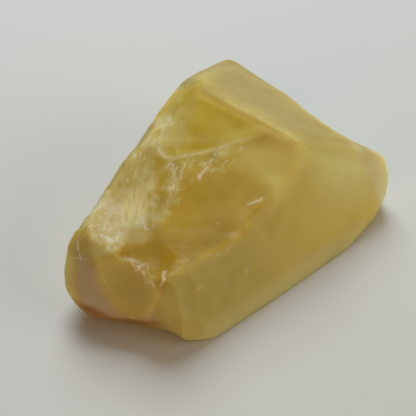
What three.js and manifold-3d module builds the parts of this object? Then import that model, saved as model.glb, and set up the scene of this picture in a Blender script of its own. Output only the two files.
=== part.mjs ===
// Rough opal: one natural broken lump, resting on its flat underside.
// Millimetres, +Z up. +X is the thick end, -Y the broad sloping front face.
// The lump is the convex block of its corners, less the shell-shaped scars of the flakes knocked
// off it, with its big faces a little wavy.
import * as THREE from 'three';
import { ConvexGeometry } from 'three/addons/geometries/ConvexGeometry.js';
import { TessellateModifier } from 'three/addons/modifiers/TessellateModifier.js';
import { mergeVertices } from 'three/addons/utils/BufferGeometryUtils.js';
import Module from 'manifold-3d';

const LENGTH = 39.8;
const DEPTH = 26.2;
const HEIGHT = 13.4;
const FACE_STEP = 2.5; // longest triangle edge on the big faces
const DIVISIONS = 24; // enough rounds of halving to bring every edge below FACE_STEP
const WAVE_DEPTH = 0.1; // how far the big faces swell and dip

const END = LENGTH / 2;
const SIDE = DEPTH / 2;

// Corners of the block, walked round each of its edges.
const CORNERS = {
  crest: [[8.4, 9.6, HEIGHT], [10.3, -4.4, 11.3], [15.2, -7.4, 8.2]],
  backPeak: [
    [9.4, 12.3, 11.8], [11.9, 12.3, 11.6], [16.8, 12.6, 10.3], [18, 12.2, 9.9], [18.4, 11.4, 9.5],
  ],
  thickEnd: [
    [19.4, -9.4, 6.4], [END, -10.2, 5.3], [19.5, -11.1, 4.3], [17.9, -11.9, 1.6], [14.2, -12.5, 0.2],
  ],
  frontFoot: [[8.7, -SIDE, 0], [3.9, -12.4, 0], [-6.4, -11.5, 0], [-12.5, -10.6, 0.2], [-15.5, -8.8, 0.9]],
  thinEnd: [[-END, 1.8, 1.4], [-END, 3.3, 2], [-19.8, 4.9, 3], [-18.6, 6.5, 4.4], [-16, 7.6, 6.8]],
  thinEndRidge: [[-14.1, 6.5, 8.4], [-17.3, 2.6, 7.5], [-15.8, -5.7, 6.9], [-18, -4, 3.3]],
  backShoulder: [[-13.8, 8.1, 8], [-11.8, 8.1, 9], [-5.6, 9.5, 9.8], [0.4, 10.6, 10.6], [5.5, 11.9, 11.4]],
  backFoot: [[-15.7, 5, 0.3], [-8.2, 9.5, 0], [2.8, 11.5, 0], [11.8, SIDE, 0], [18.3, 12, 0.4]],
  endFoot: [[19.8, 2.5, 0.5], [19.8, -5.5, 0.3], [18.7, -10, 0.3]],
};

// The large scars, as stretched balls: the floor of the scar is the part of the
// ball nearest to "under". Ripples spread from where the blow fell.
const GREAT_SCARS = [
  {
    name: 'main scar',
    centre: [3.3, -7.8, 30.2],
    radius: 20,
    stretch: 1.5,
    along: [0.85, -0.03, 0.52],
    under: [-1.5, -2.6, 8],
    reach: 0.62,
    ripple: { from: [-0.5, 4.6, 11], height: 0.05, pitch: 1.3, near: 6, far: 12 },
  },
  {
    name: 'scar right of the main one',
    centre: [1.2, -3.3, 46.4],
    radius: 24,
    stretch: 1.6,
    along: [0.03, 0.16, 0.99],
    under: [5, -2.5, 9.8],
    reach: 0.4,
    step: 1.2,
  },
  {
    name: 'scar by the front corner',
    centre: [-15.4, -2.4, 17.2],
    radius: 10,
    stretch: 1.6,
    along: [0.39, 0.91, 0.15],
    under: [-14.3, -1.8, 7.3],
    reach: 0.55,
  },
  {
    name: 'upper pocket',
    centre: [1.1, -0.3, 32.2],
    radius: 21.75,
    stretch: 1.48,
    along: [0.11, 0.98, 0.18],
    under: [6, 4.5, 11.4],
    reach: 0.5,
    step: 1.2,
  },
  {
    name: 'pocket floor',
    centre: [2.2, 1.6, 22.5],
    radius: 12,
    stretch: 1.6,
    along: [0.65, 0.73, 0.21],
    under: [5, 5.3, 11.4],
    reach: 0.5,
    step: 1,
  },
  {
    name: 'thin end scar',
    centre: [-21.3, -3.55, 8.13],
    radius: 6,
    stretch: 2,
    along: [0.51, 0.6, 0.62],
    under: [-16.3, -2, 5],
    reach: 1.1,
  },
];

// Smaller scars, as shallow dishes: rim centre, the way it faces (turn from +X, height above level),
// rim radius and depth.
const DISHES = [
  { name: 'pale shelf', at: [2.9, 7.3, 11.7], turn: 205, lift: 80, radius: 3.9, depth: 0.22 },
  { name: 'chip on the shelf', at: [3.2, 9.1, 11.7], turn: 141, lift: 72, radius: 1.1, depth: 0.15 },
  { name: 'nick in the shoulder', at: [-10.3, 8.7, 8.75], turn: 135, lift: 40, radius: 1.6, depth: 0.35 },
  { name: 'bright hollow', at: [-10.5, 4, 8.8], turn: 203, lift: 77, radius: 3.4, depth: 0.25 },
  { name: 'ledge under the hollow', at: [-11.9, 1.2, 8.3], turn: 204, lift: 77, radius: 1.7, depth: 0.22 },
  { name: 'undercut', at: [-17.8, -3.7, 0.7], turn: 205, lift: -30, radius: 6.5, depth: 1.2 },
  { name: 'back scar', at: [-3.2, 10.15, 4.6], turn: 101, lift: 2, radius: 4.1, depth: 0.7,
    stretch: 1.7, along: [0.98, 0.15, 0.1] },
  { name: 'back scar by the peak', at: [10, 12.6, 5.7], turn: 86, lift: 2, radius: 4.8, depth: 0.6,
    stretch: 1.25, along: [1, 0, 0.2] },
  { name: 'back scar by the thin end', at: [-10.5, 8.7, 2.8], turn: 116, lift: -5, radius: 2.2, depth: 0.4,
    stretch: 1.4, along: [0.88, 0.4, 0.2] },
  { name: 'end edge scar', at: [19.1, -4.4, 7.05], turn: -3, lift: 43, radius: 7, depth: 0.75 },
  { name: 'end scar', at: [19.4, 3.6, 5], turn: 4, lift: 10, radius: 4.6, depth: 0.7,
    stretch: 1.5, along: [0, 1, 0.2] },
  { name: 'end scar by the front', at: [19.8, -6.2, 3], turn: -8, lift: 0, radius: 3, depth: 0.4,
    stretch: 1.2, along: [0, 1, 0.1] },
  { name: 'underside hollow', at: [-0.5, -0.5, 0], turn: 0, lift: -90, radius: 5, depth: 0.45,
    stretch: 1.5, along: [1, 0.3, 0] },
];

// Rows of small chips knocked out of the bruised ridges.
const CHIP_ROWS = [
  { from: [-14.2, 0.8, 7.7], to: [-15.5, -5, 7], count: 5, turn: 200, lift: 60, size: 0.75, seed: 3 },
  { from: [-10.4, 8.7, 6.9], to: [0, 10.5, 8.2], count: 4, turn: 108, lift: 8, size: 1.1, seed: 23 },
];

const MILKY_YELLOW = 0xb39b52;
const OPAL_ROUGHNESS = 0.45;

// A repeatable row of numbers from 0 to 1.
function dice(seed) {
  let state = seed;
  return () => {
    state = (state * 16807) % 2147483647;
    return state / 2147483647;
  };
}

// The direction that is turned from +X about the vertical and lifted above level, in degrees.
function heading(turn, lift) {
  const flat = Math.cos(THREE.MathUtils.degToRad(lift));
  const around = THREE.MathUtils.degToRad(turn);
  return new THREE.Vector3(
    flat * Math.cos(around),
    flat * Math.sin(around),
    Math.sin(THREE.MathUtils.degToRad(lift)),
  );
}

const wasm = await Module();
wasm.setup();

function toSolid(geometry) {
  const bare = geometry.clone();
  bare.deleteAttribute('normal');
  bare.deleteAttribute('uv');
  const merged = mergeVertices(bare, 1e-4);
  return new wasm.Manifold(new wasm.Mesh({
    numProp: 3,
    vertProperties: new Float32Array(merged.getAttribute('position').array),
    triVerts: new Uint32Array(merged.getIndex().array),
  }));
}

function toGeometry(solid) {
  const mesh = solid.getMesh();
  const geometry = new THREE.BufferGeometry();
  geometry.setAttribute('position', new THREE.BufferAttribute(new Float32Array(mesh.vertProperties), 3));
  geometry.setIndex(new THREE.BufferAttribute(new Uint32Array(mesh.triVerts), 1));
  return geometry;
}

// One part of a ball, from its centre out to a round cap. "reach" is the half angle of the cap and
// "step" the distance between the rings of its floor.
function ballSector(radius, reach, step) {
  const rings = Math.ceil((radius * reach) / step);
  const profile = [];
  for (let ring = 0; ring <= rings; ring += 1) {
    const angle = (reach * ring) / rings;
    profile.push(new THREE.Vector2(radius * Math.sin(angle), radius * Math.cos(angle)));
  }
  profile[0].x = 0;
  profile.push(new THREE.Vector2(0, 0));
  const sectors = Math.ceil((2 * Math.PI * radius * Math.sin(reach)) / (1.3 * step));
  return new THREE.LatheGeometry(profile.reverse(), Math.max(sectors, 10));
}

// The solid knocked out by one flake: a ball sector aimed at the stone, stretched, with ripples
// standing on its floor.
function scarCutter(scar) {
  const { centre, radius, stretch = 1, along = [1, 0, 0], under, reach, ripple, step = 0.85 } = scar;
  const middle = new THREE.Vector3(...centre);
  const axis = new THREE.Vector3(...along).normalize();
  const aim = new THREE.Vector3(...under).sub(middle);
  aim.addScaledVector(axis, aim.dot(axis) * (1 / stretch - 1)).normalize();
  const turnToAim = new THREE.Quaternion().setFromUnitVectors(new THREE.Vector3(0, 1, 0), aim);
  const cutter = ballSector(radius, reach, step);
  const places = cutter.getAttribute('position');
  const place = new THREE.Vector3();
  const blow = ripple ? new THREE.Vector3(...ripple.from) : null;
  for (let i = 0; i < places.count; i += 1) {
    place.fromBufferAttribute(places, i);
    const onFloor = place.length() > 0.9 * radius;
    place.applyQuaternion(turnToAim);
    const outward = place.clone().normalize();
    place.addScaledVector(axis, place.dot(axis) * (stretch - 1)).add(middle);
    if (blow && onFloor) {
      const travel = place.distanceTo(blow);
      const strength = THREE.MathUtils.smoothstep(travel, ripple.near, ripple.far);
      const phase = (2 * Math.PI * travel) / ripple.pitch;
      place.addScaledVector(outward, ripple.height * strength * Math.sin(phase));
    }
    places.setXYZ(i, place.x, place.y, place.z);
  }
  return toSolid(cutter);
}

// A shallow dish, as the ball that passes through its rim and its deepest point.
function dishCutter({ at, turn, lift, radius, depth, stretch, along }) {
  const ball = (radius * radius + depth * depth) / (2 * depth);
  const facing = heading(turn, lift);
  const rim = new THREE.Vector3(...at);
  const centre = rim.clone().addScaledVector(facing, ball - depth);
  const reach = Math.min(1.25 * Math.asin(radius / ball) + 0.1, 1.5);
  const step = THREE.MathUtils.clamp(radius / 3, 0.4, 1.4);
  return scarCutter({
    centre: centre.toArray(),
    radius: ball,
    stretch,
    along,
    under: rim.toArray(),
    reach,
    step,
  });
}

function chipRow({ from, to, count, turn, lift, size, seed }) {
  const roll = dice(seed);
  const start = new THREE.Vector3(...from);
  const end = new THREE.Vector3(...to);
  const chips = [];
  for (let i = 0; i < count; i += 1) {
    const share = (i + 0.2 + 0.6 * roll()) / count;
    const radius = size * (0.6 + 0.7 * roll());
    chips.push({
      at: start.clone().lerp(end, share).toArray(),
      turn: turn + 50 * (roll() - 0.5),
      lift: lift + 30 * (roll() - 0.5),
      radius,
      depth: radius * (0.22 + 0.14 * roll()),
    });
  }
  return chips;
}

// Slow swells over the big faces. They die out towards the underside, which stays flat.
function swell(place) {
  const { x, y, z } = place;
  const wave = Math.sin(0.55 * x + 0.9 * z + 1.3) * Math.cos(0.48 * y - 0.3 * x)
    + 0.4 * Math.sin(0.9 * y + 0.5 * x + 0.4) * Math.cos(0.7 * z - 0.5 * x + 2.1);
  return WAVE_DEPTH * wave * THREE.MathUtils.smoothstep(z, 0.3, 2.5);
}

// The block before any flake came off it, its big faces divided finely enough to swell and dip.
function weatheredBlock() {
  const corners = Object.values(CORNERS).flat().map((corner) => new THREE.Vector3(...corner));
  const divided = new TessellateModifier(FACE_STEP, DIVISIONS).modify(new ConvexGeometry(corners));
  divided.deleteAttribute('normal');
  divided.deleteAttribute('uv');
  const block = mergeVertices(divided, 1e-4);
  block.computeVertexNormals();
  const places = block.getAttribute('position');
  const normals = block.getAttribute('normal');
  const place = new THREE.Vector3();
  const normal = new THREE.Vector3();
  for (let i = 0; i < places.count; i += 1) {
    place.fromBufferAttribute(places, i);
    normal.fromBufferAttribute(normals, i);
    place.addScaledVector(normal, swell(place));
    places.setXYZ(i, place.x, place.y, place.z);
  }
  return block;
}

function makeStone() {
  let stone = toSolid(weatheredBlock());
  const dishes = [...DISHES, ...CHIP_ROWS.flatMap(chipRow)];
  for (const cutter of [...GREAT_SCARS.map(scarCutter), ...dishes.map(dishCutter)]) {
    stone = stone.subtract(cutter);
  }
  const geometry = toGeometry(stone);
  geometry.computeVertexNormals();
  const material = new THREE.MeshStandardMaterial({
    color: MILKY_YELLOW,
    roughness: OPAL_ROUGHNESS,
    metalness: 0,
  });
  const mesh = new THREE.Mesh(geometry, material);
  mesh.name = 'opal_stone';
  return mesh;
}

const opal = new THREE.Group();
opal.name = 'rough_opal';
opal.add(makeStone());

export default opal;
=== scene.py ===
import math

import bmesh
import bpy
import numpy as np
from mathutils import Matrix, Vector, kdtree


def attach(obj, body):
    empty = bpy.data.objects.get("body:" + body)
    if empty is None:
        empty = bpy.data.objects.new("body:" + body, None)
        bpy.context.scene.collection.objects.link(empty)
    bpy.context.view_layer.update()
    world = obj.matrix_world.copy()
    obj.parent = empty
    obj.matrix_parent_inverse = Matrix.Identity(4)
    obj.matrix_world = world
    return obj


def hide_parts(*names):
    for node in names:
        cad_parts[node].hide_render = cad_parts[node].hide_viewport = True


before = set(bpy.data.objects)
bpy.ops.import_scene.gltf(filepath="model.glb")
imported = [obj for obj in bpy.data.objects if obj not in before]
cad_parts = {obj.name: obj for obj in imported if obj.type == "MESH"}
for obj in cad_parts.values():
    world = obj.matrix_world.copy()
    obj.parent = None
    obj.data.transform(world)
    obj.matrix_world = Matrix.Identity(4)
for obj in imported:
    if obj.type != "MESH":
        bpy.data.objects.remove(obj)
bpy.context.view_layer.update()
print("frame loaded")

millimetre = 0.001    # shapes are worked out in millimetres and put into the meshes in metres

# The stone before any flake came off it: the convex block of these corners.
block = {
    "swell": 0.1,         # slow waves over the big faces
    "samePlane": 0.02,    # faces of the block that differ by less than this are one
    "corners": {
        "crest": [(8.4, 9.6, 13.4), (10.3, -4.4, 11.3), (15.2, -7.4, 8.2)],
        "backPeak": [(9.4, 12.3, 11.8), (11.9, 12.3, 11.6), (16.8, 12.6, 10.3), (18, 12.2, 9.9),
                     (18.4, 11.4, 9.5)],
        "thickEnd": [(19.4, -9.4, 6.4), (19.9, -10.2, 5.3), (19.5, -11.1, 4.3), (17.9, -11.9, 1.6),
                     (14.2, -12.5, 0.2)],
        "frontFoot": [(8.7, -13.1, 0), (3.9, -12.4, 0), (-6.4, -11.5, 0), (-12.5, -10.6, 0.2),
                      (-15.5, -8.8, 0.9)],
        "thinEnd": [(-19.9, 1.8, 1.4), (-19.9, 3.3, 2), (-19.8, 4.9, 3), (-18.6, 6.5, 4.4),
                    (-16, 7.6, 6.8)],
        "thinEndRidge": [(-14.1, 6.5, 8.4), (-17.3, 2.6, 7.5), (-15.8, -5.7, 6.9), (-18, -4, 3.3)],
        "backShoulder": [(-13.8, 8.1, 8), (-11.8, 8.1, 9), (-5.6, 9.5, 9.8), (0.4, 10.6, 10.6),
                         (5.5, 11.9, 11.4)],
        "backFoot": [(-15.7, 5, 0.3), (-8.2, 9.5, 0), (2.8, 11.5, 0), (11.8, 13.1, 0), (18.3, 12, 0.4)],
        "endFoot": [(19.8, 2.5, 0.5), (19.8, -5.5, 0.3), (18.7, -10, 0.3)],
    },
}

# Flakes knocked off the block. A big scar is a stretched ball by its centre; a dish is given by its
# rim: middle, the way it faces (turn from +X, lift above level), radius and depth.
scars = {
    "mainScar": {"centre": (3.3, -7.8, 30.2), "ball": 20, "stretch": 1.5, "along": (0.85, -0.03, 0.52)},
    "rightScar": {"centre": (1.2, -3.3, 46.4), "ball": 24, "stretch": 1.6, "along": (0.03, 0.16, 0.99)},
    "frontCorner": {"centre": (-15.4, -2.4, 17.2), "ball": 10, "stretch": 1.6,
                    "along": (0.39, 0.91, 0.15)},
    "pocket": {"centre": (1.1, -0.3, 32.2), "ball": 21.75, "stretch": 1.48, "along": (0.11, 0.98, 0.18)},
    "pocketFloor": {"centre": (2.2, 1.6, 22.5), "ball": 12, "stretch": 1.6, "along": (0.65, 0.73, 0.21)},
    "paleShelf": {"at": (2.9, 7.3, 11.7), "turn": 205, "lift": 80, "radius": 3.9, "depth": 0.22},
    "shelfChip": {"at": (3.2, 9.1, 11.7), "turn": 141, "lift": 72, "radius": 1.1, "depth": 0.15},
    "shoulderNick": {"at": (-10.3, 8.7, 8.75), "turn": 135, "lift": 40, "radius": 1.6, "depth": 0.35},
    "brightHollow": {"at": (-10.5, 4, 8.8), "turn": 203, "lift": 77, "radius": 3.4, "depth": 0.25},
    "ledge": {"at": (-11.9, 1.2, 8.3), "turn": 204, "lift": 77, "radius": 1.7, "depth": 0.22},
    "thinEndScar": {"centre": (-21.3, -3.55, 8.13), "ball": 6, "stretch": 2, "along": (0.51, 0.6, 0.62)},
    "undercut": {"at": (-17.8, -3.7, 0.7), "turn": 205, "lift": -30, "radius": 6.5, "depth": 1.2},
    "backScar": {"at": (-3.2, 10.15, 4.6), "turn": 101, "lift": 2, "radius": 4.1, "depth": 0.7,
                 "stretch": 1.7, "along": (0.98, 0.15, 0.1)},
    "backPeakScar": {"at": (10, 12.6, 5.7), "turn": 86, "lift": 2, "radius": 4.8, "depth": 0.6,
                     "stretch": 1.25, "along": (1, 0, 0.2)},
    "backThinScar": {"at": (-10.5, 8.7, 2.8), "turn": 116, "lift": -5, "radius": 2.2, "depth": 0.4,
                     "stretch": 1.4, "along": (0.88, 0.4, 0.2)},
    "endEdgeScar": {"at": (19.1, -4.4, 7.05), "turn": -3, "lift": 43, "radius": 7, "depth": 0.75},
    "endScar": {"at": (19.4, 3.6, 5), "turn": 4, "lift": 10, "radius": 4.6, "depth": 0.7,
                "stretch": 1.5, "along": (0, 1, 0.2)},
    "endFrontScar": {"at": (19.8, -6.2, 3), "turn": -8, "lift": 0, "radius": 3, "depth": 0.4,
                     "stretch": 1.2, "along": (0, 1, 0.1)},
    "undersideHollow": {"at": (-0.5, -0.5, 0), "turn": 0, "lift": -90, "radius": 5, "depth": 0.45,
                        "stretch": 1.5, "along": (1, 0.3, 0)},
}

# Rows of small chips knocked out of the bruised ridges.
chipRows = {
    "thinEndRidge": {"from": (-14.2, 0.8, 7.7), "to": (-15.5, -5.0, 7), "count": 5,
                     "turn": 200, "lift": 60, "size": 0.75, "seed": 3},
    "backShoulder": {"from": (-10.4, 8.7, 6.9), "to": (0, 10.5, 8.2), "count": 4,
                     "turn": 108, "lift": 8, "size": 1.1, "seed": 23},
}


def unit(vector):
    vector = np.array(vector, float)
    return vector / np.linalg.norm(vector)


def unitRows(rows):
    return rows / np.linalg.norm(rows, axis=1, keepdims=True)


# The direction at a turn from +X and a lift above level, in degrees.
def heading(turn, lift):
    turn, lift = math.radians(turn), math.radians(lift)
    return np.array([math.cos(lift) * math.cos(turn), math.cos(lift) * math.sin(turn), math.sin(lift)])


def smoothStep(low, high, value):
    share = np.clip((value - low) / (high - low), 0, 1)
    return share * share * (3 - 2 * share)


# A smooth random field of unit strength: many waves of about one pitch, in all directions.
def drift(p, pitch, seed, waves=22):
    roll = np.random.default_rng(seed)
    heads = unitRows(roll.normal(size=(waves, 3))) / (pitch * roll.uniform(0.65, 1.6, (waves, 1)))
    starts = roll.uniform(0, 1, waves)
    return np.sin(2 * math.pi * (p @ heads.T + starts)).sum(axis=1) * math.sqrt(2 / waves)


# A repeatable row of numbers from 0 to 1.
def dice(seed):
    state = seed
    while True:
        state = state * 16807 % 2147483647
        yield state / 2147483647


# The chips of a row: dishes with places, sizes and directions that differ a little.
def chipsOf(row):
    roll = dice(row["seed"])
    start, end = np.array(row["from"], float), np.array(row["to"], float)
    for index in range(row["count"]):
        share = (index + 0.2 + 0.6 * next(roll)) / row["count"]
        radius = row["size"] * (0.6 + 0.7 * next(roll))
        yield {
            "at": start + (end - start) * share,
            "turn": row["turn"] + 50 * (next(roll) - 0.5),
            "lift": row["lift"] + 30 * (next(roll) - 0.5),
            "radius": radius,
            "depth": radius * (0.22 + 0.14 * next(roll)),
        }


# The ball that cuts a scar: its middle, its radius, and how it is squeezed along its stretch.
def ballOf(scar):
    if "centre" in scar:
        middle, ball = np.array(scar["centre"], float), scar["ball"]
    else:
        ball = (scar["radius"] ** 2 + scar["depth"] ** 2) / (2 * scar["depth"])
        middle = scar["at"] + heading(scar["turn"], scar["lift"]) * (ball - scar["depth"])
    return middle, ball, 1 / scar.get("stretch", 1) - 1, unit(scar.get("along", (1, 0, 0)))


# The planes of the block's faces, looking outwards.
def blockPlanes(corners):
    bm = bmesh.new()
    for corner in sum(corners.values(), []):
        bm.verts.new(corner)
    bmesh.ops.convex_hull(bm, input=bm.verts)
    bmesh.ops.recalc_face_normals(bm, faces=bm.faces)
    planes = []
    for face in bm.faces:
        plane = np.array([*face.normal, -face.normal.dot(face.verts[0].co)])
        if not any(np.abs(plane - other).max() < block["samePlane"] for other in planes):
            planes.append(plane)
    bm.free()
    return np.array(planes)


# Slow waves over the big faces, which die out at the foot.
def swell(p):
    x, y, z = p.T
    wave = np.sin(0.55 * x + 0.9 * z + 1.3) * np.cos(0.48 * y - 0.3 * x)
    wave += 0.4 * np.sin(0.9 * y + 0.5 * x + 0.4) * np.cos(0.7 * z - 0.5 * x + 2.1)
    return block["swell"] * wave * smoothStep(0.3, 2.5, z)


planes = blockPlanes(block["corners"])
scarNames = list(scars)
chips = [chip for row in chipRows.values() for chip in chipsOf(row)]
balls = [ballOf(scar) for scar in [*scars.values(), *chips]]


# How far points lie inside one scar, where the stone is gone, and which way is out of the stone.
def scarReach(p, scar):
    middle, ball, squeeze, along = scar
    away = p - middle
    away = away + squeeze * np.outer(away @ along, along)
    length = np.linalg.norm(away, axis=1)
    slope = -away / length[:, None]
    slope = slope + squeeze * np.outer(slope @ along, along)
    steep = np.linalg.norm(slope, axis=1)
    return (ball - length) / steep, slope / steep[:, None]


# The worn surface lies where no plane and no scar is exceeded; where they meet, the ridge is rounded
# over by the wear. Gives how far each point stands past that surface, the way out, the part that each
# plane and scar has in it, and how far the point stands past each of them.
def worn(p, wear):
    scarDepths, scarSlopes = zip(*(scarReach(p, scar) for scar in balls))
    planeReach = p @ planes[:, :3].T + planes[:, 3] - swell(p)[:, None]
    reach = np.column_stack([planeReach, *scarDepths])
    most = reach.max(axis=1, keepdims=True)
    share = np.exp((reach - most) / wear)
    total = share.sum(axis=1, keepdims=True)
    past = (most + wear * np.log(total))[:, 0]
    share /= total
    slope = share[:, :len(planes)] @ planes[:, :3]
    for index, scarSlope in enumerate(scarSlopes, len(planes)):
        slope += share[:, index, None] * scarSlope
    return past, slope, share, reach


# Wears at which the shares of the planes and scars are worked out, for the marks and the tones.
shareWears = {"crisp": 0.12, "middle": 0.25, "soft": 0.5}


# The mesh of the finished stone.
fine = {
    "grain": 0.19,         # spacing of the mesh
    "stride": 0.3,         # the furthest that a point moves in one round of settling
    "wear": 0.07,          # roundness of the ridges
    "endWear": 0.13,       # rounder at the far ends, which took the knocks
    "ends": (16, 19.5),    # how far along the stone the ends begin and are full
    "proud": 0.5,          # share of the wear by which the whole surface stands prouder again
    "softCore": 0.3,       # share of a soft edge's reach that has its full roundness
}

# The back edge of the flaked face, which is soft and carries a band of painted shade.
backShoulder = [(8.4, 9.6, 13.4), (0.4, 10.6, 10.6), (-5.6, 9.5, 9.8), (-13.8, 8.1, 8)]

# Edges that are rounder than the rest: path, wear and how wide the rounding reaches.
softEdges = {
    "frontHigh": ([(10.2, -6, 9.6), (8.4, -5.4, 10), (4.5, -6.4, 8.7), (0.4, -6, 7.8)], 0.25, 4),
    "frontLow": ([(0.4, -6, 7.8), (-4.4, -7.2, 6.9), (-9.7, -6, 7.2)], 0.16, 3),
    "crestEnd": ([(10.9, -4.8, 10.9), (12.6, -5.9, 9.8)], 0.2, 2.5),
    "frontTop": ([(12, -5.6, 10.2), (15.2, -7.4, 8.2), (16.9, -8.2, 7.4)], 0.38, 3),
    "scarMeeting": ([(-7.9, 1.4, 9.3), (-9.2, 0, 8.9), (-10.5, -1.4, 8.4), (-11.7, -3.2, 7.9)], 0.25, 4),
    "crest": ([(8.4, 9.6, 13.4), (10.3, -4.4, 11.3)], 0.16, 2),
    "backShoulder": (backShoulder, 0.18, 2),
    "frontCorner": ([(-13.6, -6.2, 6.2), (-14.5, -7.5, 4.2), (-15.1, -8.5, 2)], 0.13, 3.5),
    "thinScarEdge": ([(-15.8, -4.8, 5.7), (-16.4, -5, 4.6), (-17.1, -5, 3.5)], 0.16, 2.4),
    "thinCorner": ([(-15.8, -6, 6.4), (-16.3, -6.6, 4), (-16.5, -6.9, 2)], 0.35, 2.8),
}


# How far points lie from a path.
def nearPath(p, path):
    nearest = np.full(len(p), np.inf)
    for start, end in zip(path, path[1:]):
        start, span = np.array(start), np.array(end) - np.array(start)
        share = np.clip((p - start) @ span / (span @ span), 0, 1)
        nearest = np.minimum(nearest, np.linalg.norm(p - start - share[:, None] * span, axis=1))
    return nearest


# The wear at each point, and how far the whole surface stands proud there.
def wearOf(p):
    ends = smoothStep(*fine["ends"], np.abs(p[:, 0]))
    wear = fine["wear"] + (fine["endWear"] - fine["wear"]) * ends
    proud = fine["proud"] * wear
    for path, softWear, width in softEdges.values():
        near = smoothStep(width, fine["softCore"] * width, nearPath(p, path))
        wear = np.maximum(wear, softWear * near)
    return wear[:, None], proud


# The part that some scars have in the surface.
def shareOf(share, *names):
    return sum(share[:, len(planes) + scarNames.index(name)] for name in names)


# An even, fine mesh of a solid of the frame.
def fineCopy(node):
    piece = bpy.data.objects.new("opal", node.data.copy())
    bpy.context.scene.collection.objects.link(piece)
    bm = bmesh.new()
    bm.from_mesh(piece.data)
    bmesh.ops.remove_doubles(bm, verts=bm.verts, dist=1e-7)
    bm.to_mesh(piece.data)
    bm.free()
    remesh = piece.modifiers.new("grain", "REMESH")
    remesh.mode = "VOXEL"
    remesh.voxel_size = fine["grain"] * millimetre
    graph = bpy.context.evaluated_depsgraph_get()
    mesh = bpy.data.meshes.new_from_object(piece.evaluated_get(graph))
    piece.modifiers.clear()
    piece.data = mesh
    return piece


def relax(mesh, times):
    bm = bmesh.new()
    bm.from_mesh(mesh)
    for _ in range(times):
        bmesh.ops.smooth_vert(bm, verts=bm.verts, factor=0.5, use_axis_x=True, use_axis_y=True,
                              use_axis_z=True)
    bm.to_mesh(mesh)
    bm.free()


def readRows(mesh, name):
    rows = np.empty(len(mesh.vertices) * 3, np.float32)
    mesh.vertices.foreach_get(name, rows)
    return rows.reshape(-1, 3).astype(float)


def readPoints(mesh):
    return readRows(mesh, "co") / millimetre


def writePoints(mesh, points):
    mesh.vertices.foreach_set("co", (points * millimetre).astype(np.float32).ravel())
    mesh.update()


# Moves the mesh on to the worn surface.
def settle(mesh, rounds):
    points = readPoints(mesh)
    for _ in range(rounds):
        wear, proud = wearOf(points)
        past, slope = worn(points, wear)[:2]
        step = (past - proud) / (slope ** 2).sum(axis=1)
        points -= slope * np.clip(step, -fine["stride"], fine["stride"])[:, None]
    writePoints(mesh, points)


piece = fineCopy(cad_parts["opal_stone"])
relax(piece.data, 3)
settle(piece.data, 5)
relax(piece.data, 1)
settle(piece.data, 2)
print("fine mesh", len(piece.data.vertices), "points", len(piece.data.polygons), "faces")

# Marks on the faces. Ripples are arcs round the blow, each with its own middle turn, spread, width and
# strength between two limits. Hackles are the splinters of the flank. Flakes are small facets of so many
# mesh points each.
marks = {
    "ripples": {"from": (-0.5, 4.6, 11), "near": 8.6, "far": 14.6, "count": 13, "scatter": 0.12,
                "middle": (-2.5, -1.95), "spread": (0.18, 0.5), "width": (0.1, 0.2), "strength": (0.4, 1),
                "height": 0.006, "seed": 4},
    "waver": {"height": 0.12, "pitch": 5, "waves": 22, "seed": 8},    # of the ripples
    "hackles": {"along": (-0.85, -0.48, -0.2), "across": (0.64, -0.76, 0.1), "origin": (-8.6, 7.9, 9),
                "length": 6, "pitch": 0.7, "waves": 40, "height": 0.02, "seed": 9},
    "flakes": {"size": 0.7, "depth": 0.06, "tilt": 0.35, "points": 13, "limits": (-0.1, 0.01), "seed": 14},
    "unevenness": {"height": 0.018, "pitch": 2.2, "waves": 22, "seed": 31},
}

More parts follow.
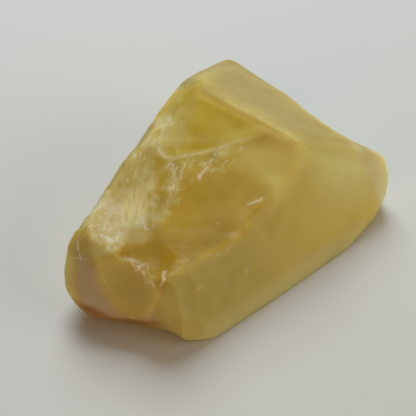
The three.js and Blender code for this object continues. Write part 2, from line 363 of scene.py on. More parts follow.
# Zones of the upper face: their outlines in plan, how soft the border is and how ragged.
zones = {
    "flank": ([(-14.6, 4.9), (-14.2, 3), (-12.6, 3.2), (-11, 2.2), (-10, 0.6), (-7.7, 0.4), (-4.7, 1),
               (-2.4, 2), (-0.8, 3), (-1.1, 4.6), (-2, 6), (-1.2, 7.3), (0.5, 9.6), (2.4, 12), (-8, 11),
               (-15, 9)], 0.5, 0.25),
    "pocketDeep": ([(7.9, 9.3), (9.1, 4.3), (9.6, -1.2), (6.7, 0.1), (2.9, 2.6), (0.5, 4.4), (2.7, 5.9),
                    (5.2, 7.3)], 0.8, 0.05),
    "shelf": ([(6.4, 11), (8, 9.6), (5.6, 7.3), (3.2, 5.9), (0.9, 4.6), (-1.4, 5.4), (-0.9, 7.6),
               (1.6, 9.4), (4, 11)], 1.0, 0.1),
    "scarFloor": ([(-14.2, 0.4), (-12.2, 0.6), (-10, 0.4), (-7.7, 0.2), (-4.7, 0.8), (-2.4, 1.8), (-0.8, 3),
                   (2.9, 2.4), (6.8, 0), (9.3, -1.4), (9.4, -3.5), (6, -5.2), (1, -6), (-2.4, -6.9),
                   (-6.4, -6.6), (-9.7, -5.7), (-12.1, -4.1), (-14.8, -4.9)], 0.5, 0.1),
    "rightWall": ([(2.4, 0.6), (3.8, 1.6), (5.6, 0.6), (7.5, -1), (9.8, -3), (9.6, -5.4), (6.2, -6.4),
                   (3.5, -6.4), (3.9, -4.3), (4.2, -2)], 1.4, 0.1),
    "underPocket": ([(-1.4, 4.2), (0.5, 4.2), (2.9, 2.6), (5.4, 1.2), (4.8, -0.2), (3.6, 0), (2.6, -0.3),
                     (1.2, -0.3), (-0.2, 0.6), (-2, 1.4)], 0.8, 0.15),
    # Painted light: the glitter zone lifts the bright part of the flank.
    "glitter": ([(-14.6, 5), (-14.2, 2.6), (-11.5, 3), (-10.2, 1.8), (-8.3, 2.6), (-6.9, 3.6), (-6.6, 5.2),
                 (-8, 6.8), (-9.5, 8), (-12, 8), (-13.6, 7.6)], 0.9, 0.3),
    "frost": ([(-12.1, 8.6), (-9.4, 8), (-9.8, 6), (-12, 4.4), (-12.4, 3), (-13.6, 2), (-14.9, 2.4),
               (-14.9, 5), (-14.3, 7), (-13, 8.6)], 0.4, 0.3),
    "tan": ([(-12.4, 3.3), (-11.1, 3.2), (-10.3, 1.6), (-10.9, 0.5), (-11.9, 0.2), (-13.2, 2.0)], 0.3, 0.1),
    "crust": ([(-14.3, -0.2), (-14, -1.2), (-14, -2.2), (-14.5, -3.2), (-15.3, -4.2), (-15.3, -2.6),
               (-14.9, -1)], 0.3, 0.25),
    "bandHigh": ([(-2.1, 5.3), (-1.3, 4.1), (-3.7, 2), (-5.3, 1.2), (-5.1, 2.5), (-3.2, 4)], 0.3, 0.3),
    "bandLow": ([(-6, 1.7), (-8.3, 0.6), (-10.5, 0.1), (-9.7, 1.6), (-8.7, 1.4), (-6.4, 2.1)], 0.3, 0.3),
    "gold": ([(-2.9, 6.4), (-2, 5.8), (-3.4, 3.8), (-5.7, 2.4), (-6.6, 3.2), (-4.4, 4.8)], 0.4, 0.15),
    "lowCorner": ([(-14.2, 1.7), (-11.4, 0.2), (-9.8, -2), (-10.6, -4.2), (-13, -4.7), (-14.6, -4.9),
                   (-14.8, -1.5)], 0.8, 0.15),
}

# The borders of the zones are ragged at this pitch, and the zones fade in between these heights.
zoneBorder = {"pitch": 1.1, "fade": (5.8, 6.8)}


# How far points lie inside a zone seen from above: 0 outside it, 1 well inside. The length of its name
# is the seed of its ragged border.
def zoneOf(p, name):
    outline, soft, ragged = zones[name]
    inside = np.zeros(len(p), bool)
    nearest = np.full(len(p), np.inf)
    for start, end in zip(outline, outline[1:] + outline[:1]):
        start, span = np.array(start, float), np.array(end, float) - np.array(start, float)
        away = p[:, :2] - start
        share = np.clip(away @ span / (span @ span), 0, 1)
        nearest = np.minimum(nearest, np.linalg.norm(away - share[:, None] * span, axis=1))
        crosses = (start[1] > p[:, 1]) != (start[1] + span[1] > p[:, 1])
        if span[1]:
            inside ^= crosses & (away[:, 0] < away[:, 1] * span[0] / span[1])
    depth = np.where(inside, nearest, -nearest) + ragged * drift(p, zoneBorder["pitch"], len(name))
    return smoothStep(-soft, soft, depth) * smoothStep(*zoneBorder["fade"], p[:, 2])


# The slow field of one kind of mark.
def driftOf(p, name):
    mark = marks[name]
    return mark["height"] * drift(p, mark["pitch"], mark["seed"], mark["waves"])


# Coordinates that run with the splinters of the flank: across them, and along them in shares of their
# length. The splinters fan out, so they lean more the further across they are.
def fanOf(p):
    mark = marks["hackles"]
    away = p - np.array(mark["origin"])
    across, along = away @ unit(mark["across"]), away @ unit(mark["along"])
    lean = 0.12 * smoothStep(0, 4, across) + 0.35 * smoothStep(4.5, 7, across)
    return np.stack([across + lean * along, along / mark["length"], np.zeros(len(p))], axis=1)


# Arcs round the blow, on what faces up.
def ripplesOf(p, normal):
    mark = marks["ripples"]
    roll = np.random.default_rng(mark["seed"])
    away = p - np.array(mark["from"])
    travel = np.linalg.norm(away, axis=1) + driftOf(p, "waver")
    turn = np.arctan2(away[:, 1], away[:, 0])
    height = np.zeros(len(p))
    places = np.linspace(mark["near"], mark["far"], mark["count"])
    for place in places + roll.normal(0, mark["scatter"], mark["count"]):
        middle, spread = roll.uniform(*mark["middle"]), roll.uniform(*mark["spread"])
        width = roll.uniform(*mark["width"])
        crest = np.exp(-((travel - place) / width) ** 2) * np.exp(-((turn - middle) / spread) ** 4)
        height += roll.uniform(*mark["strength"]) * crest
    return height * smoothStep(0.6, 0.85, normal[:, 2])


# Small facets tilted at random and drawn out along the splinters, each of about so many mesh points.
def flakesOf(p, fan, chosen):
    mark = marks["flakes"]
    roll = np.random.default_rng(mark["seed"])
    spots = np.flatnonzero(chosen)
    height = np.zeros(len(p))
    placed = fan * (1, 2, 0)
    seeds = placed[roll.choice(spots, int(len(spots) / mark["points"]), replace=False)]
    tilts = roll.normal(size=(len(seeds), 3)) * mark["tilt"]
    lows = roll.uniform(0, 1, len(seeds))
    tree = kdtree.KDTree(len(seeds))
    for index, seed in enumerate(seeds):
        tree.insert(seed, index)
    tree.balance()
    for spot in spots:
        index = tree.find(placed[spot])[1]
        tilt = tilts[index] @ (placed[spot] - seeds[index])
        height[spot] = -mark["depth"] * (lows[index] + tilt / mark["size"])
    return np.clip(height, *mark["limits"])


# Carves the marks into the mesh, and gives where they lie for the tones.
def carve(mesh):
    p, normal = readPoints(mesh), readRows(mesh, "normal")
    fan = fanOf(p)
    flank = zoneOf(p, "flank")
    splintered = np.maximum.reduce([zoneOf(p, name) for name in ("frost", "crust")])
    flecked = np.maximum.reduce([zoneOf(p, name) for name in ("bandHigh", "bandLow", "underPocket")])
    flecked *= 1 - zoneOf(p, "pocketDeep")
    broken = np.maximum(splintered, 0.6 * flecked)
    hollow = shareOf(worn(p, shareWears["middle"])[2], "mainScar") * (1 - flank)
    ripples = ripplesOf(p, normal) * hollow
    height = driftOf(fan, "hackles") * flank + marks["ripples"]["height"] * ripples
    height += flakesOf(p, fan, broken > 0.05) * broken
    height += driftOf(p, "unevenness") * smoothStep(0.2, 1, p[:, 2])
    writePoints(mesh, p + normal * height[:, None])
    return {"fan": fan, "flank": flank, "splintered": splintered, "flecked": flecked, "ripples": ripples}


fields = carve(piece.data)
print("marks carved")

# The sharp little edge across the top of the thin end, which is both bruised and given a painted glint.
thinEndCrease = [(-15.8, 6.6, 7.2), (-17.2, 4.9, 6.6)]

# Bruises and painted glints: whitish lines and spots, as paths with a width and a strength. The shelf
# glint, the crest-end spot and dot and the pocket's chip and fork are painted glints; the rest are whitish
# bruises.
bruisesAndGlints = {
    "cornerRidge": ([(-14.6, 0.7, 7.6), (-14.7, -1.1, 7.3), (-15.2, -2.7, 6.9), (-15.6, -5.4, 6.7)],
                    0.22, 0.7),
    "cornerSpot": ([(-14.8, -1.4, 7.3), (-15.1, -2.2, 7.0)], 0.4, 1.0),
    "cornerTip": ([(-15.5, -5.2, 6.7), (-14.4, -4.9, 7.2), (-13.3, -4.2, 7.4)], 0.25, 0.9),
    "frostSpot": ([(-13.9, 3.4, 8.1), (-13.5, 2.7, 8.1)], 0.4, 1.0),
    "frostTop": ([(-10.8, 8.0, 8.1), (-11.7, 7.4, 8.3)], 0.4, 0.8),
    "frostPatch": ([(-10.4, 7.6, 8.5), (-10.5, 5.8, 8.7)], 1.1, 0.75),
    "ledgeRim": ([(-13.2, 2.8, 8.1), (-12.3, 3.5, 8.1), (-11.2, 3.6, 8.2), (-10.2, 2.8, 8.4),
                  (-10.2, 1.2, 8.5)], 0.26, 1.0),
    "spur": ([(-9.2, 3.0, 8.6), (-9.8, 2.0, 8.5), (-10.3, 1.3, 8.5)], 0.28, 0.9),
    "glowEdge": ([(-6.4, 3.0, 9.7), (-7.6, 2.6, 9.3), (-8.8, 2.2, 8.9)], 0.2, 0.7),
    "pocketChip": ([(2.0, 1.8, 10.4), (0.5, 1.4, 10.1), (-1.0, 1.2, 9.8)], 0.2, 0.5),
    "pocketFork": ([(-0.9, 1.2, 9.8), (-0.6, 1.9, 10.1)], 0.14, 0.4),
    "pocketLedge": ([(0.2, 1.3, 10.0), (1.8, 0.1, 9.8)], 0.35, 0.35),
    "ridgeSpot": ([(3.0, 1.7, 10.4), (3.3, 1.3, 10.4)], 0.45, 0.5),
    "ridgeSpotRight": ([(4.9, 0.5, 10.8), (5.4, 0.2, 10.8)], 0.35, 0.4),
    "bandTop": ([(-1.9, 4.9, 10.9), (-2.7, 3.5, 10.5), (-4.0, 1.9, 9.8)], 0.3, 0.5),
    "bandMiddle": ([(-4.0, 1.9, 9.8), (-5.3, 1.7, 9.6), (-7.9, 1.1, 9.2)], 0.3, 0.25),
    "bandLine": ([(-0.8, 3.4, 10.8), (-2.8, 2.5, 10.2)], 0.16, 0.6),
    "shelfCrescent": ([(3.2, 9.6, 11.6), (2.6, 8.5, 11.4), (3.6, 7.9, 11.5)], 0.22, 0.6),
    "shelfGlint": ([(3.4, 9.5, 11.6), (3.2, 9.3, 11.6)], 0.3, 0.9),
    "shelfStreak": ([(2.0, 8.9, 11.4), (0.2, 8.1, 11.2)], 0.2, 0.8),
    "shelfCorner": ([(-0.5, 7.6, 11.1), (-1.5, 6.6, 11.1), (-1.8, 5.6, 11.0)], 0.3, 0.35),
    "crestEndSpot": ([(9.5, -4.8, 10.8), (9.7, -4.9, 10.7)], 0.25, 0.8),
    "crestEndDot": ([(10.8, -5.0, 10.5), (10.9, -5.1, 10.5)], 0.18, 0.6),
    "crestEndLine": ([(13.8, -6.4, 9.2), (15.0, -7.3, 8.5)], 0.2, 0.6),
    "thinEndCrease": (thinEndCrease, 0.14, 0.5),
    "thinEndFork": ([(-17.3, 6.1, 6.0), (-17.2, 4.9, 6.6), (-17.1, 3.0, 6.9)], 0.18, 0.35),
    "dustOne": ([(-3.7, -3.8, 7.6), (-3.6, -3.9, 7.6)], 0.16, 0.45),
    "dustTwo": ([(-3.3, -2.4, 8.0), (-3.2, -2.4, 8.0)], 0.16, 0.3),
    "dustThree": ([(-1.7, -3.9, 7.8), (-1.6, -3.9, 7.8)], 0.14, 0.3),
    "mottle": ([(-3.8, -5.9, 7.2), (-3.6, -6.6, 7.1)], 0.5, 0.22),
    "mottleLow": ([(-4.6, -7.0, 6.7), (-6.4, -6.9, 6.6), (-7.6, -6.5, 6.9)], 0.5, 0.2),
    "frontSpot": ([(-4.8, -8.8, 4.0), (-4.7, -8.9, 4.0)], 0.3, 0.4),
    "frontSpotLow": ([(-10.9, -7.5, 5.1), (-10.7, -7.6, 5.1)], 0.35, 0.3),
}

# Painted glints: thin bright highlight lines along sharp little edges.
glints = {
    "pocketRidge": ([(-1.2, 7.0, 11.1), (-1.8, 5.6, 11), (-1.2, 4.6, 11), (0.5, 3.9, 10.8),
                     (2.9, 2.7, 10.5), (5.6, 1.2, 10.9), (6.8, 0.2, 11.1)], 0.32, 0.26),
    "pocketV": ([(0.6, 1.4, 10.1), (-0.5, 1.3, 9.9), (-1.0, 1.2, 9.8)], 0.15, 1.0),
    "pocketDot": ([(-0.6, 1.3, 9.85), (-1.0, 1.2, 9.8)], 0.26, 1.0),
    "scarCrescent": ([(0.6, -4.7, 8.0), (1.8, -5.4, 8.2), (2.9, -5.6, 8.5), (4.1, -6.0, 8.8)], 0.16, 0.7),
    "scarEdge": ([(-12.1, -4.1, 7.8), (-9.7, -5.7, 7.3), (-6.4, -6.6, 6.8), (-4.0, -6.8, 6.9)],
                 0.3, 0.05),
    "crest": ([(9.0, 6.4, 12.7), (9.3, 2.4, 12.3), (9.8, -1.2, 11.9), (10.3, -4.4, 11.2)], 0.3, 0.15),
    "thinEndCrease": (thinEndCrease, 0.14, 0.5),
    "thinEndSeam": ([(-17.1, 2.7, 6.8), (-17.2, 1.8, 6.1), (-17.8, -0.5, 4.5), (-18, -3.8, 2.9)],
                    0.16, 0.25),
}

# Painted shadows: thin dark lines where one splinter stands over the next and shades it.
ledgeShadows = {
    "arch": ([(-11.1, 3.2, 8.2), (-10.4, 2.8, 8.3), (-10.2, 1.7, 8.4)], 0.13, 0.6),
    "underRidge": ([(-2.9, 3.9, 10.6), (-4.6, 2.9, 10.1), (-6.6, 2.2, 9.6)], 0.12, 0.4),
}

# Darker ochre bands of painted shade: along the foot of the pocket's ridge and along the edge of the shelf.
shadeBands = {
    "pocketFoot": ([(-1.2, 4.1, 10.9), (0.7, 2.6, 10.5), (2.3, 1.7, 10.4)], 1.2, 1.0),
    "shelfEdge": ([(-1.7, 7.6, 11.1), (-2, 6.4, 11.1)], 1.2, 0.7),
}

# Ground-down places that have lost some of their gloss.
mattSpots = {
    "crestStart": ([(9.4, 10.2, 13.1), (8.4, 9.8, 13.2), (7.0, 9.8, 12.8)], 2, 1.0),
    "pocketRidge": ([(-1.6, 5.6, 11), (0.5, 3.9, 10.8), (2.9, 2.7, 10.5)], 1.4, 1.0),
    "scarFoot": ([(-8.2, -4, 7.4), (-5.2, -4.7, 7.3), (-3.2, -5.2, 7.4)], 1.9, 0.8),
    "knob": ([(-14.1, -4.3, 7.2), (-13, -4.2, 7.4), (-11.3, -3.5, 7.9)], 1.6, 1.0),
}


# The borders of all strokes are shaken by one field.
strokeShake = {"pitch": 0.9, "seed": 71}


# How strongly points lie in the strokes of one kind.
def strokesOf(p, strokes, ragged):
    amount = np.zeros(len(p))
    shake = ragged * drift(p, strokeShake["pitch"], strokeShake["seed"])
    for path, width, strength in strokes.values():
        away = nearPath(p, path) / width + shake
        amount = np.maximum(amount, strength * smoothStep(1.2, 0.3, away))
    return amount


# The edge between the great scar and the front face.
scarEdge = [(-12.1, -4.1, 7.8), (-9.7, -5.7, 7.3), (-6.4, -6.6, 6.8), (-2.4, -6.9, 6.9), (1, -6, 7.9)]

# The outer edge of the top face, round the back and the thick end, along which painted shade lies.
topEdge = [(9.0, 11.2, 12.4), (9.4, 12.3, 11.8), (16.8, 12.6, 10.3), (18.4, 11.4, 9.5), (19.4, 0, 7.9),
           (19.5, -7.6, 7)]

# The ways that the two big unflaked faces look, and how nearly that way a plane of theirs looks.
facings = {"front": ((-0.09, -0.82, 0.57), 0.9), "top": ((0.376, -0.088, 0.923), 0.95)}

# Where light gathers in the flank.
glowSpot = {"middle": (-8.9, 4.3, 8.9), "reach": (2.5, 1.5, 1.8)}


# Worn ridges, which get a pale painted highlight: where two bounds nearly tie and their faces differ enough
# in direction.
def ridgesOf(reach, slope):
    last = np.sort(reach, axis=1)[:, -2:]
    bend = 1 - np.linalg.norm(slope, axis=1)
    return smoothStep(0.42, 0.12, last[:, 1] - last[:, 0]) * smoothStep(0.01, 0.06, bend)


# The part that the planes of one big face have in the surface.
def facingShare(share, name):
    direction, least = facings[name]
    chosen = planes[:, :3] @ unit(direction) > least
    return share[:, :len(planes)][:, chosen].sum(axis=1)


# Where each tone lies, as a share from 0 to 1 at each point of the mesh.
def tonesOf(mesh, fields):
    p = readPoints(mesh)
    x, y, z = p.T
    crisp, reach = worn(p, shareWears["crisp"])[2:]
    softSlope, soft = worn(p, shareWears["soft"])[1:3]
    thin = shareOf(crisp, "thinEndScar")
    front = facingShare(soft, "front")
    corner = (1 - thin) * smoothStep(-11, -13, x) * smoothStep(-3.2, -4.6, y)
    clear = 1 - fields["flank"]
    hollow = shareOf(crisp, "mainScar", "frontCorner") * clear
    gold, tan = zoneOf(p, "gold"), zoneOf(p, "tan")
    shelf, deep = zoneOf(p, "shelf"), zoneOf(p, "pocketDeep")
    knob = zoneOf(p, "lowCorner") * (1 - thin)
    outward = y - 2.2 - 0.45 * z    # how far out on the thin end's facet towards the back
    fromEdge = nearPath(p, scarEdge)
    # Painted shade along the back shoulder, towards the thin end.
    shoulder = smoothStep(1.3, 0.3, nearPath(p, backShoulder)) * smoothStep(3.5, 0.5, x)
    fromGlow = np.linalg.norm((p - glowSpot["middle"]) / glowSpot["reach"], axis=1)
    return {
        "front": front,
        # Painted light: paler towards the upper right of the front face, standing for sheen and light
        # coming through the stone.
        "frontHigh": front * smoothStep(4, 18, x) * smoothStep(1, 7, z),
        # Painted shade: darker towards the low left of the front face and the corner.
        "frontLow": np.maximum(front, corner) * smoothStep(8, -8, x) * smoothStep(-0.5, 1.5, z),
        "top": facingShare(soft, "top"),
        "flank": fields["flank"],
        "olive": np.maximum(hollow, zoneOf(p, "scarFloor") * clear),
        "rightWall": zoneOf(p, "rightWall"),
        "shoulder": shoulder,
        # Painted shade: darker along the outer edge of the top face.
        "backEdge": smoothStep(2.2, 0.3, nearPath(p, topEdge)),
        "oliveHigh": shareOf(soft, "rightScar") * clear * smoothStep(12, 4, x - y),
        "oliveLow": hollow * smoothStep(6, 1.5, fromEdge) * smoothStep(0, -5, x)
                    * np.maximum(smoothStep(0, 1.3, fromEdge), smoothStep(-8, -10, x)),
        "lowCorner": knob,
        "deep": deep * (0.7 + 0.3 * smoothStep(-1, 6, y)),
        "shelf": shelf,
        "shelfLow": np.maximum(shelf, deep) * smoothStep(8.6, 5.2, y) * smoothStep(6, 3, x),
        "underPocket": zoneOf(p, "underPocket"),
        "thinFacet": thin,
        "endTop": (1 - thin) * smoothStep(-14.2, -16.2, x) * smoothStep(5.5, 6.5, z),
        # Painted light: a paler rim on the thick end, where the light catches it.
        "endRim": smoothStep(16.8, 19.2, x - 0.15 * y) * smoothStep(0.5, 2, z),
        "foot": front * smoothStep(2.4, 0.4, z),
        "cornerFace": corner * smoothStep(-13.2, -15, x),
        "pink": (1 - thin) * smoothStep(-16.4, -17.3, x) * smoothStep(7.4, 6.2, z)
                * smoothStep(1.5, -1.1, outward),
        # Painted glow: a lighter rim on the thin end, where light shines through the stone.
        "thinRim": smoothStep(-0.6, 1.2, outward) * smoothStep(3.2, 2.3, outward)
                   * smoothStep(-14.8, -16.2, x) * smoothStep(7.2, 5.4, z),
        "gold": gold,
        "tan": tan,
        "glitter": zoneOf(p, "glitter"),
        "glow": smoothStep(1.8, 0.2, fromGlow),
        "streaked": fields["flank"] * (1 - gold) * (1 - 0.6 * tan) * (1 - 0.8 * shoulder),
        "frost": fields["splintered"],
        "fleck": fields["flecked"],
        "ridge": ridgesOf(reach, softSlope) * smoothStep(6.5, 7.5, z) * clear * (1 - 0.8 * knob),
        "bruiseAndGlint": strokesOf(p, bruisesAndGlints, 0.3),
        # Painted highlights along sharp little edges.
        "glint": strokesOf(p, glints, 0.1),
        "ledgeShadow": strokesOf(p, ledgeShadows, 0.1),
        "bandShade": strokesOf(p, shadeBands, 0.2),
        "matt": strokesOf(p, mattSpots, 0.3),
        "ripple": np.clip(fields["ripples"], 0, 1),
        # Painted shade: dark orange-brown under the thin end's undercut and along its lowest edge, warmed
        # as by light through the stone.
        "undercutShade": np.maximum(smoothStep(0.02, 0.3, shareOf(soft, "undercut")) * smoothStep(-15.6, -17, x),
                            smoothStep(3, 2.1, z) * smoothStep(-17.6, -18.6, x)),
    }


def paintTones(mesh, tones, fan):
    for name, values in tones.items():
        layer = mesh.attributes.new(name, "FLOAT", "POINT")
        layer.data.foreach_set("value", values.astype(np.float32))
    layer = mesh.attributes.new("fan", "FLOAT_VECTOR", "POINT")
    layer.data.foreach_set("vector", (fan * millimetre).astype(np.float32).ravel())


paintTones(piece.data, tonesOf(piece.data, fields), fields["fan"])
for polygon in piece.data.polygons:
    polygon.use_smooth = True
piece.data.materials.clear()
print("tones painted")


# One output of a node. Expressions on wires and numbers add the Math nodes.
class Wire:
    def __init__(self, recipe, socket):
        self.recipe = recipe
        self.socket = socket

    def __add__(self, other):
        return self.recipe.maths("ADD", self, other)

    def __radd__(self, other):
        return self.recipe.maths("ADD", other, self)

    def __sub__(self, other):
        return self.recipe.maths("SUBTRACT", self, other)

    def __rsub__(self, other):
        return self.recipe.maths("SUBTRACT", other, self)

    def __mul__(self, other):
        return self.recipe.maths("MULTIPLY", self, other)

    def __rmul__(self, other):
        return self.recipe.maths("MULTIPLY", other, self)


# The nodes of one material.
class Recipe:
    def __init__(self, tree):
        self.tree = tree
        self.tree.nodes.clear()

    def add(self, kind, settings=None, sockets=None, out=0):
        node = self.tree.nodes.new(kind)
        for key, value in (settings or {}).items():
            setattr(node, key, value)
        for key, value in (sockets or {}).items():
            socket = self.find(node.inputs, key)
            if isinstance(value, Wire):
                self.tree.links.new(value.socket, socket)
            else:
                socket.default_value = value
        return Wire(self, self.find(node.outputs, out)) if len(node.outputs) else None

    def find(self, sockets, key):
        if isinstance(key, int):
            return sockets[key]
        return next(socket for socket in sockets if key in (socket.identifier, socket.name))

    def maths(self, operation, first, second):
        return self.add("ShaderNodeMath", {"operation": operation}, {0: first, 1: second})

    def step(self, value, low, high):
        return self.add("ShaderNodeMapRange", {"interpolation_type": "SMOOTHSTEP"},
                        {"Value": value, "From Min": low, "From Max": high})

    def blend(self, share, under, over):
        return self.add("ShaderNodeMix", {"data_type": "RGBA", "clamp_factor": True},
                        {"Factor_Float": share, "A_Color": under, "B_Color": over}, "Result_Color")

    def tone(self, name):
        return self.add("ShaderNodeAttribute", {"attribute_name": name}, None, "Fac")

    def noise(self, place, pitch, detail):
        return self.add("ShaderNodeTexNoise", None,
                        {"Vector": place, "Scale": 1 / (pitch * millimetre), "Detail": detail}, "Fac")

    def cells(self, place, pitch):
        colour = self.add("ShaderNodeTexVoronoi", None,
                          {"Vector": place, "Scale": 1 / (pitch * millimetre)}, "Color")
        return self.add("ShaderNodeSeparateColor", None, {"Color": colour}, "Red")


# Colours of the stone, from its milky body to its stains, and its finish. Some of them are painted light
# and shade, as the comments beside them say.
opal = {
    "body": (0.64, 0.48, 0.075, 1),
    "cloud": (0.69, 0.54, 0.11, 1),
    "front": (0.64, 0.51, 0.105, 1),
    # Painted light: the sheen and glow on the upper right of the front face.
    "frontHigh": (0.77, 0.76, 0.33, 1),
    # Painted shade: the darker low left of the front face.
    "frontLow": (0.505, 0.415, 0.10, 1),
    "foot": (0.62, 0.54, 0.24, 1),
    "cornerFace": (0.55, 0.47, 0.15, 1),
    # Painted light on the rim of the thick end.
    "endRim": (0.71, 0.66, 0.36, 1),
    "top": (0.48, 0.37, 0.13, 1),
    # Painted shade along the back shoulder's rim.
    "shoulder": (0.44, 0.35, 0.09, 1),
    # Painted shade along the outer edge of the top face.
    "backEdge": (0.37, 0.29, 0.08, 1),
    "flank": (0.60, 0.49, 0.13, 1),
    "olive": (0.58, 0.41, 0.055, 1),
    "oliveHigh": (0.74, 0.59, 0.14, 1),
    "oliveLow": (0.43, 0.285, 0.03, 1),
    "lowCorner": (0.47, 0.30, 0.002, 1),
    "rightWall": (0.80, 0.70, 0.22, 1),
    "deep": (0.70, 0.55, 0.065, 1),
    "shelf": (0.62, 0.50, 0.07, 1),
    "shelfLow": (0.54, 0.39, 0.02, 1),
    "underPocket": (0.67, 0.54, 0.12, 1),
    "thinFacet": (0.68, 0.59, 0.20, 1),
    # Painted shade under the thin end's undercut.
    "undercutShade": (0.34, 0.14, 0.012, 1),
    "endTop": (0.49, 0.38, 0.10, 1),
    "pink": (0.59, 0.50, 0.32, 1),
    "gold": (0.57, 0.42, 0.03, 1),
    "tan": (0.60, 0.46, 0.13, 1),
    # Painted glow on the rim of the thin end.
    "thinRim": (0.70, 0.66, 0.28, 1),
    # Painted shade in the bands at the pocket's foot and the shelf's edge.
    "bandShade": (0.50, 0.37, 0.05, 1),
    # Painted light over the bright part of the flank.
    "glitter": (0.80, 0.72, 0.36, 1),
    "glow": (0.95, 0.88, 0.46, 1),
    "pale": (0.68, 0.58, 0.26, 1),
    # Whitish flecks and bruises, and also the white of the painted glints.
    "white": (0.88, 0.83, 0.62, 1),
    # The colour of the painted shadow lines under the ledges.
    "dark": (0.22, 0.13, 0.01, 1),
    "roughness": 0.42,
    "uneven": 0.2,                # how much the roughness varies
    "index": 1.4,
    "gloss": 0.3,
    "bump": 0.4,
    "bumpHeight": 0.06,
    "depth": 3,                   # how far light goes into the stone
    "spread": (1.0, 0.8, 0.5),    # the red, green and blue shares of that
}

# Sizes of the cloudiness and grain in the stone, and of the streaks, flecks and facets on the flank.
pitches = {"cloud": 5, "mottle": 0.9, "grain": 0.22, "streaks": 0.42, "flecks": 0.3, "facets": 0.38}

# Tones that cover one another in this order, each with the colour of the same name.
coverTones = [
    "front", "frontHigh", "frontLow", "foot", "cornerFace", "endRim", "top", "flank", "olive", "oliveHigh",
    "oliveLow", "lowCorner", "rightWall", "deep", "shelf", "shelfLow", "shoulder", "backEdge",
    "underPocket", "thinFacet", "endTop", "pink", "thinRim", "gold", "tan", "bandShade",
]


def opalMaterial():
    material = bpy.data.materials.new("opal")
    material.use_nodes = True
    recipe = Recipe(material.node_tree)
    place = recipe.add("ShaderNodeTexCoord", None, None, "Object")
    fan = recipe.add("ShaderNodeAttribute", {"attribute_name": "fan"}, None, "Vector")
    cloud = recipe.noise(place, pitches["cloud"], 3)
    mottle = recipe.noise(place, pitches["mottle"], 3)
    grain = recipe.noise(place, pitches["grain"], 2)
    streaks = recipe.noise(fan, pitches["streaks"], 2.5)
    specks = recipe.noise(fan, pitches["flecks"], 2)
    flecks = recipe.step(specks, 0.54, 0.66) * recipe.step(mottle, 0.42, 0.58)
    facets = recipe.step(recipe.cells(place, pitches["facets"]), 0.35, 0.9)
    streaked, bruiseAndGlint, frost = recipe.tone("streaked"), recipe.tone("bruiseAndGlint"), recipe.tone("frost")
    colour = recipe.blend(recipe.step(cloud, 0.35, 0.7), opal["body"], opal["cloud"])
    for name in coverTones:
        colour = recipe.blend(recipe.tone(name), colour, opal[name])
    # What lies over those: how much of it shows, and its colour.
    for share, name in [
        # Painted light over the bright part of the flank.
        (recipe.tone("glitter") * 0.7, "glitter"),
        (recipe.tone("glow") * 0.9, "glow"),
        (streaked * recipe.step(streaks, 0.52, 0.36) * 0.35, "gold"),
        (streaked * recipe.step(streaks, 0.5, 0.7) * 0.45, "pale"),
        (streaked * flecks * 0.4, "white"),
        (recipe.tone("fleck") * flecks * 0.55, "white"),
        (frost * recipe.step(mottle, 0.3, 0.6) * 0.5, "pale"),
        (frost * facets * recipe.step(mottle, 0.3, 0.65) * 0.65, "white"),
        # Painted shade under the thin end's undercut.
        (recipe.tone("undercutShade") * 0.8, "undercutShade"),
        # Painted light: pale on the ripple crests, where the arcs catch the light.
        (recipe.tone("ripple") * 0.1, "pale"),
        # Painted highlight: pale along the worn ridges.
        (recipe.tone("ridge") * recipe.step(mottle, 0.25, 0.6) * 0.2, "pale"),
        (bruiseAndGlint * recipe.step(grain, 0.25, 0.6) * 0.9, "white"),
        # Painted highlights along sharp little edges.
        (recipe.tone("glint"), "white"),
        # Painted shadow lines under the ledges.
        (recipe.tone("ledgeShadow") * 0.7, "dark"),
    ]:
        colour = recipe.blend(share, colour, opal[name])
    dull = bruiseAndGlint * 0.2 + recipe.tone("matt") * 0.4 + recipe.tone("top") * 0.2
    relief = mottle * 0.4 + grain * 0.2 + streaked * streaks * 1.2 + frost * facets
    bump = recipe.add("ShaderNodeBump", None, {
        "Strength": opal["bump"],
        "Distance": opal["bumpHeight"] * millimetre,
        "Height": relief,
    })
    surface = recipe.add("ShaderNodeBsdfPrincipled", None, {
        "Base Color": colour,
        "Roughness": opal["roughness"] + dull + (mottle - 0.5) * opal["uneven"],
        "IOR": opal["index"],
        "Specular IOR Level": opal["gloss"],
        "Subsurface Weight": 1.0,
        "Subsurface Radius": opal["spread"],
        "Subsurface Scale": opal["depth"] * millimetre,
        "Normal": bump,
    })
    recipe.add("ShaderNodeOutputMaterial", None, {"Surface": surface})
    return material


piece.data.materials.append(opalMaterial())
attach(piece, "root")
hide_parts("opal_stone")
print("opal finished")

studio = {
    "turn": -50, "lift": 42, "distance": 260,    # where the camera stands, in degrees and millimetres
    "target": (-0.24, 0.52, 5.0),
    "viewWidth": 48.09,                          # how much of the scene the view takes in at the target
    "floor": (0.70, 0.71, 0.695, 1), "floorRoughness": 0.6, "floorReach": 1.5,
    "room": (0.95, 0.97, 1.0, 1), "roomStrength": 0.06,
}

# Big soft lamps, by the direction they stand in, with sizes and distances in metres.
lamps = {
    "window": {"towards": (0.6, 0.6, 0.66), "distance": 0.6, "size": 0.33, "power": 3.0,
               "colour": (0.865, 0.95, 1)},
    "front": {"towards": (0.5, -0.83, 0.3), "distance": 0.6, "size": 0.5, "power": 1.7,
              "colour": (1, 0.92, 0.74)},
    "left": {"towards": (-0.95, -0.3, 0.62), "distance": 0.6, "size": 0.5, "power": 1.0,
             "colour": (1, 0.6, 0.26)},
}


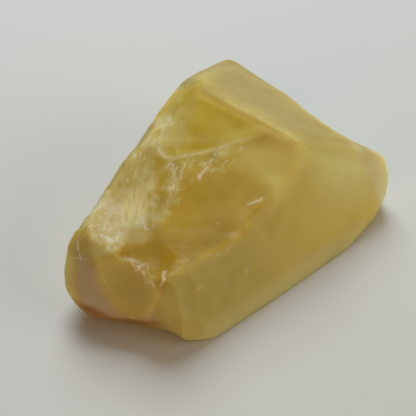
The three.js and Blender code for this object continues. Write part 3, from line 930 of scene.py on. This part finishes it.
def makeCamera():
    turn, lift = math.radians(studio["turn"]), math.radians(studio["lift"])
    back = Vector((math.sin(turn) * math.cos(lift), -math.cos(turn) * math.cos(lift), math.sin(lift)))
    data = bpy.data.cameras.new("camera")
    data.lens = data.sensor_width * studio["distance"] / studio["viewWidth"]
    data.clip_start = 0.01
    camera = bpy.data.objects.new("camera", data)
    camera.location = (Vector(studio["target"]) + back * studio["distance"]) * millimetre
    camera.rotation_euler = back.to_track_quat("Z", "Y").to_euler()
    bpy.context.scene.collection.objects.link(camera)
    bpy.context.scene.camera = camera


def makeFloor():
    bm = bmesh.new()
    bmesh.ops.create_grid(bm, x_segments=1, y_segments=1, size=studio["floorReach"])
    mesh = bpy.data.meshes.new("floor")
    bm.to_mesh(mesh)
    bm.free()
    floor = bpy.data.objects.new("floor", mesh)
    bpy.context.scene.collection.objects.link(floor)
    material = bpy.data.materials.new("floor")
    material.use_nodes = True
    recipe = Recipe(material.node_tree)
    surface = recipe.add("ShaderNodeBsdfPrincipled", None,
                         {"Base Color": studio["floor"], "Roughness": studio["floorRoughness"]})
    recipe.add("ShaderNodeOutputMaterial", None, {"Surface": surface})
    mesh.materials.append(material)


def makeLamp(name, lamp):
    data = bpy.data.lights.new(name, "AREA")
    data.shape = "SQUARE"
    data.size = lamp["size"]
    data.energy = lamp["power"]
    data.color = lamp["colour"]
    holder = bpy.data.objects.new(name, data)
    holder.location = Vector(lamp["towards"]).normalized() * lamp["distance"]
    holder.rotation_euler = Vector(lamp["towards"]).to_track_quat("Z", "Y").to_euler()
    bpy.context.scene.collection.objects.link(holder)


def makeRoom():
    world = bpy.data.worlds.new("room")
    world.use_nodes = True
    world.node_tree.nodes["Background"].inputs["Color"].default_value = studio["room"]
    world.node_tree.nodes["Background"].inputs["Strength"].default_value = studio["roomStrength"]
    bpy.context.scene.world = world


makeCamera()
makeFloor()
makeRoom()
for name, lamp in lamps.items():
    makeLamp(name, lamp)
bpy.context.scene.view_settings.view_transform = "Standard"
print("studio made")
